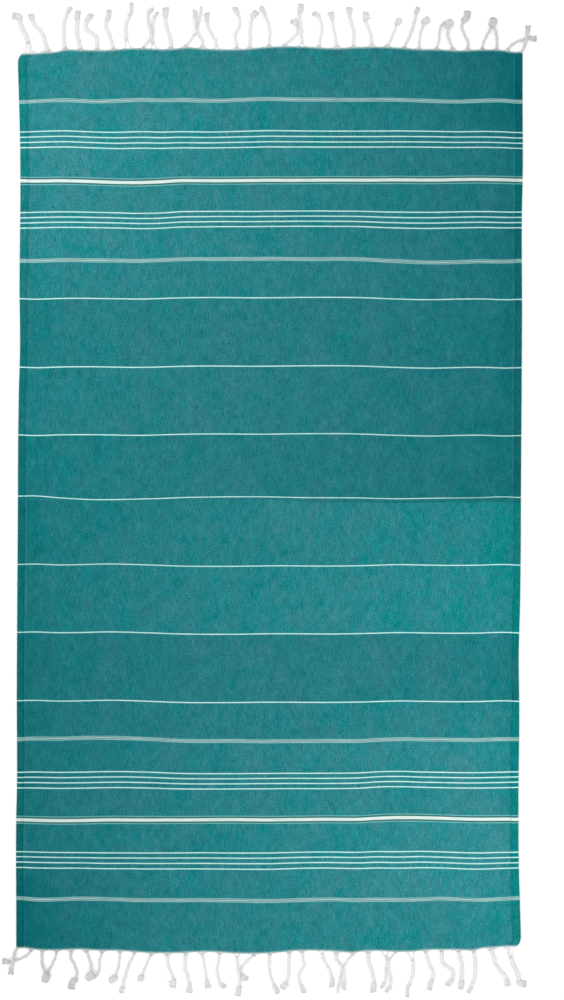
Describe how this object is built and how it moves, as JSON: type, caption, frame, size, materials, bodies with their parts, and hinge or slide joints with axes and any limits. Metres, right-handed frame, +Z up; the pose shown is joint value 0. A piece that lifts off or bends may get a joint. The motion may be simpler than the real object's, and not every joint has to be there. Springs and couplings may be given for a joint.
{
  "type": "hammam towel",
  "caption": "Flat-woven cotton hammam towel lying open, with hemmed sides, woven cross stripes and knotted tassels along both ends.",
  "frame": {"origin": "the middle of the towel, at the height of the surface that it lies on", "axes": "+X across the towel to the right hem, +Y along the towel to its head end, +Z up off the surface"},
  "size_m": [1.064, 1.9756, 0.0121],
  "materials": {
    "teal_cotton": "matt flat-woven cotton, teal with pale weft stripes",
    "white_cotton": "matt twisted cotton yarn, undyed white"
  },
  "bodies": {
    "root": {"cloth": "teal_cotton", "fringe_head": "white_cotton", "fringe_foot": "white_cotton"}
  },
  "joints": []
}
